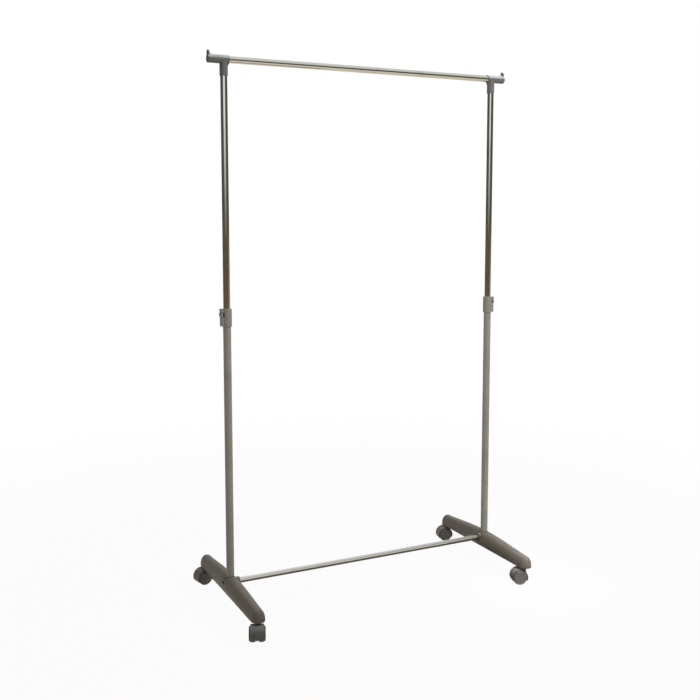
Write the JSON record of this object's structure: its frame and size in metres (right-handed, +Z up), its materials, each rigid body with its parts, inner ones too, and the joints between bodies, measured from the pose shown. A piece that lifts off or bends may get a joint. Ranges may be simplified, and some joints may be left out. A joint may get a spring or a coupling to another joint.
{
  "type": "rolling clothes rack",
  "caption": "Rolling clothes rack with one chrome hanging rail on telescopic uprights, moulded grey feet and twin-wheel casters.",
  "frame": {"origin": "on the floor, midway between the two uprights", "axes": "+X along the hanging rail, -Y towards the front, +Z up"},
  "size_m": [0.951, 0.5004, 1.5501],
  "materials": {
    "foot_plastic": "moulded dark warm grey plastic, fine matt grain",
    "painted_tube": "steel tube, satin olive-grey paint",
    "chrome_tube": "steel tube, bright chrome plate",
    "collar_plastic": "moulded mid grey plastic, satin",
    "tee_plastic": "moulded mid grey plastic, satin",
    "bush_plastic": "moulded black plastic",
    "zinc_steel": "zinc plated steel",
    "hood_plastic": "moulded dark grey plastic, satin",
    "wheel_plastic": "moulded dark grey plastic, matt"
  },
  "bodies": {
    "base": {"foot_left": "foot_plastic", "foot_right": "foot_plastic", "lower_tube_left": "painted_tube", "lower_tube_right": "painted_tube", "bottom_bar": "chrome_tube", "bar_end_plugs": "bush_plastic", "bar_bolts": "zinc_steel", "caster_sockets": "bush_plastic", "stem_rings": "zinc_steel", "collar_left": "collar_plastic", "collar_right": "collar_plastic", "collar_screws": "zinc_steel", "lever_pins": "zinc_steel"},
    "hanging_frame": {"upper_tube_left": "chrome_tube", "upper_tube_right": "chrome_tube", "hanging_rail": "chrome_tube", "tee_left": "tee_plastic", "tee_right": "tee_plastic", "guide_bush_left": "bush_plastic", "guide_bush_right": "bush_plastic", "tee_screws": "zinc_steel"},
    "lock_lever_left": {"lock_lever_left": "collar_plastic"},
    "lock_lever_right": {"lock_lever_right": "collar_plastic"},
    "caster_front_left": {"caster_hood_front_left": "hood_plastic", "caster_stem_front_left": "zinc_steel", "caster_axle_front_left": "zinc_steel"},
    "wheel_a_front_left": {"wheel_a_front_left": "wheel_plastic"},
    "wheel_b_front_left": {"wheel_b_front_left": "wheel_plastic"},
    "caster_front_right": {"caster_hood_front_right": "hood_plastic", "caster_stem_front_right": "zinc_steel", "caster_axle_front_right": "zinc_steel"},
    "wheel_a_front_right": {"wheel_a_front_right": "wheel_plastic"},
    "wheel_b_front_right": {"wheel_b_front_right": "wheel_plastic"},
    "caster_rear_left": {"caster_hood_rear_left": "hood_plastic", "caster_stem_rear_left": "zinc_steel", "caster_axle_rear_left": "zinc_steel"},
    "wheel_a_rear_left": {"wheel_a_rear_left": "wheel_plastic"},
    "wheel_b_rear_left": {"wheel_b_rear_left": "wheel_plastic"},
    "caster_rear_right": {"caster_hood_rear_right": "hood_plastic", "caster_stem_rear_right": "zinc_steel", "caster_axle_rear_right": "zinc_steel"},
    "wheel_a_rear_right": {"wheel_a_rear_right": "wheel_plastic"},
    "wheel_b_rear_right": {"wheel_b_rear_right": "wheel_plastic"}
  },
  "joints": [
    {"name": "height_adjust", "type": "slide", "parent": "base", "child": "hanging_frame", "axis": [0, 0, 1], "range_m": [-0.6, 0.05]},
    {"name": "lock_lever_left_flip", "type": "hinge", "parent": "base", "child": "lock_lever_left", "pos_m": [-0.444, 0, 0.8509], "axis": [0, 1, 0], "range_deg": [0, 110]},
    {"name": "lock_lever_right_flip", "type": "hinge", "parent": "base", "child": "lock_lever_right", "pos_m": [0.444, 0, 0.8509], "axis": [0, -1, 0], "range_deg": [0, 110]},
    {"name": "caster_front_left_swivel", "type": "hinge", "parent": "base", "child": "caster_front_left", "pos_m": [-0.43, -0.214, 0.0215], "axis": [0, 0, 1], "continuous": true},
    {"name": "wheel_a_front_left_spin", "type": "hinge", "parent": "caster_front_left", "child": "wheel_a_front_left", "pos_m": [-0.43562, -0.22791, 0.0215], "axis": [0.9272, -0.3746, 0], "continuous": true},
    {"name": "wheel_b_front_left_spin", "type": "hinge", "parent": "caster_front_left", "child": "wheel_b_front_left", "pos_m": [-0.43562, -0.22791, 0.0215], "axis": [0.9272, -0.3746, 0], "continuous": true},
    {"name": "caster_front_right_swivel", "type": "hinge", "parent": "base", "child": "caster_front_right", "pos_m": [0.43, -0.214, 0.0215], "axis": [0, 0, 1], "continuous": true},
    {"name": "wheel_a_front_right_spin", "type": "hinge", "parent": "caster_front_right", "child": "wheel_a_front_right", "pos_m": [0.41609, -0.20838, 0.0215], "axis": [-0.3746, -0.9272, 0], "continuous": true},
    {"name": "wheel_b_front_right_spin", "type": "hinge", "parent": "caster_front_right", "child": "wheel_b_front_right", "pos_m": [0.41609, -0.20838, 0.0215], "axis": [-0.3746, -0.9272, 0], "continuous": true},
    {"name": "caster_rear_left_swivel", "type": "hinge", "parent": "base", "child": "caster_rear_left", "pos_m": [-0.43, 0.214, 0.0215], "axis": [0, 0, 1], "continuous": true},
    {"name": "wheel_a_rear_left_spin", "type": "hinge", "parent": "caster_rear_left", "child": "wheel_a_rear_left", "pos_m": [-0.44477, 0.21139, 0.0215], "axis": [0.1736, -0.9848, 0], "continuous": true},
    {"name": "wheel_b_rear_left_spin", "type": "hinge", "parent": "caster_rear_left", "child": "wheel_b_rear_left", "pos_m": [-0.44477, 0.21139, 0.0215], "axis": [0.1736, -0.9848, 0], "continuous": true},
    {"name": "caster_rear_right_swivel", "type": "hinge", "parent": "base", "child": "caster_rear_right", "pos_m": [0.43, 0.214, 0.0215], "axis": [0, 0, 1], "continuous": true},
    {"name": "wheel_a_rear_right_spin", "type": "hinge", "parent": "caster_rear_right", "child": "wheel_a_rear_right", "pos_m": [0.41545, 0.21763, 0.0215], "axis": [-0.2419, -0.9703, 0], "continuous": true},
    {"name": "wheel_b_rear_right_spin", "type": "hinge", "parent": "caster_rear_right", "child": "wheel_b_rear_right", "pos_m": [0.41545, 0.21763, 0.0215], "axis": [-0.2419, -0.9703, 0], "continuous": true}
  ]
}
